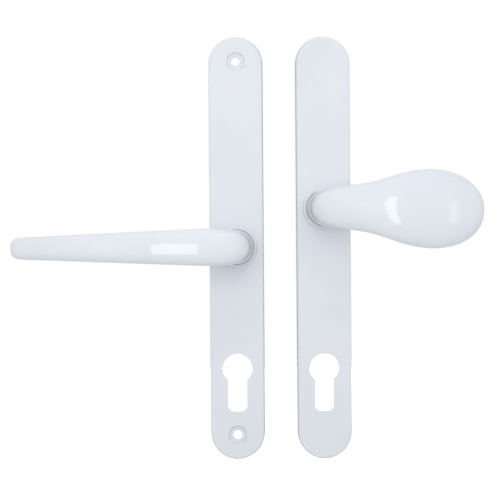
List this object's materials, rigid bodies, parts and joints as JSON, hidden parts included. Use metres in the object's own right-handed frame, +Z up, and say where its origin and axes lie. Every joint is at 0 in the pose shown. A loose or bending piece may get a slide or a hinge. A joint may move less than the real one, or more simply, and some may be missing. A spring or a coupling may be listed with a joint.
{
  "type": "lever and pad door handle set",
  "caption": "White lever handle and pad handle on long round-ended backplates, each sprung on its spindle and cut out for a euro profile cylinder.",
  "frame": {"origin": "axis of the round part of the lever plate's euro profile cut-out, on the door face", "axes": "+X from the lever plate to the pad plate, +Y into the door, +Z up the plates"},
  "size_m": [0.2638, 0.0929, 0.2436],
  "materials": {
    "white_powder_coat": "gloss",
    "white_nylon": "satin",
    "zinc_plated_steel": "satin",
    "spring_steel": "satin"
  },
  "bodies": {
    "root": {"lever_backplate": "white_powder_coat", "lever_bearing_bush": "white_nylon", "lever_return_spring": "spring_steel", "pad_backplate": "white_powder_coat", "pad_bearing_bush": "white_nylon", "pad_return_spring": "spring_steel", "lower_fixing_pillar": "zinc_plated_steel", "upper_fixing_pillar": "zinc_plated_steel"},
    "lever": {"lever_grip": "white_powder_coat", "lever_drive_cam": "zinc_plated_steel", "lever_wave_washer": "spring_steel", "lever_circlip": "spring_steel", "lever_spindle": "zinc_plated_steel", "lever_grub_screw": "zinc_plated_steel"},
    "pad": {"pad_grip": "white_powder_coat", "pad_drive_cam": "zinc_plated_steel", "pad_wave_washer": "spring_steel", "pad_circlip": "spring_steel", "pad_spindle": "zinc_plated_steel", "pad_grub_screw": "zinc_plated_steel"}
  },
  "joints": [
    {"name": "lever_turn", "type": "hinge", "parent": "root", "child": "lever", "pos_m": [0, 0, 0.07], "axis": [0, -1, 0], "range_deg": [-45, 45], "stiffness_Nm_per_rad": 1.6, "springref_deg": -4.58, "deforming": ["lever_return_spring"]},
    {"name": "pad_turn", "type": "hinge", "parent": "root", "child": "pad", "pos_m": [0.0502, 0, 0.092], "axis": [0, 1, 0], "range_deg": [-45, 45], "stiffness_Nm_per_rad": 1.6, "springref_deg": -6.88, "deforming": ["pad_return_spring"]}
  ]
}
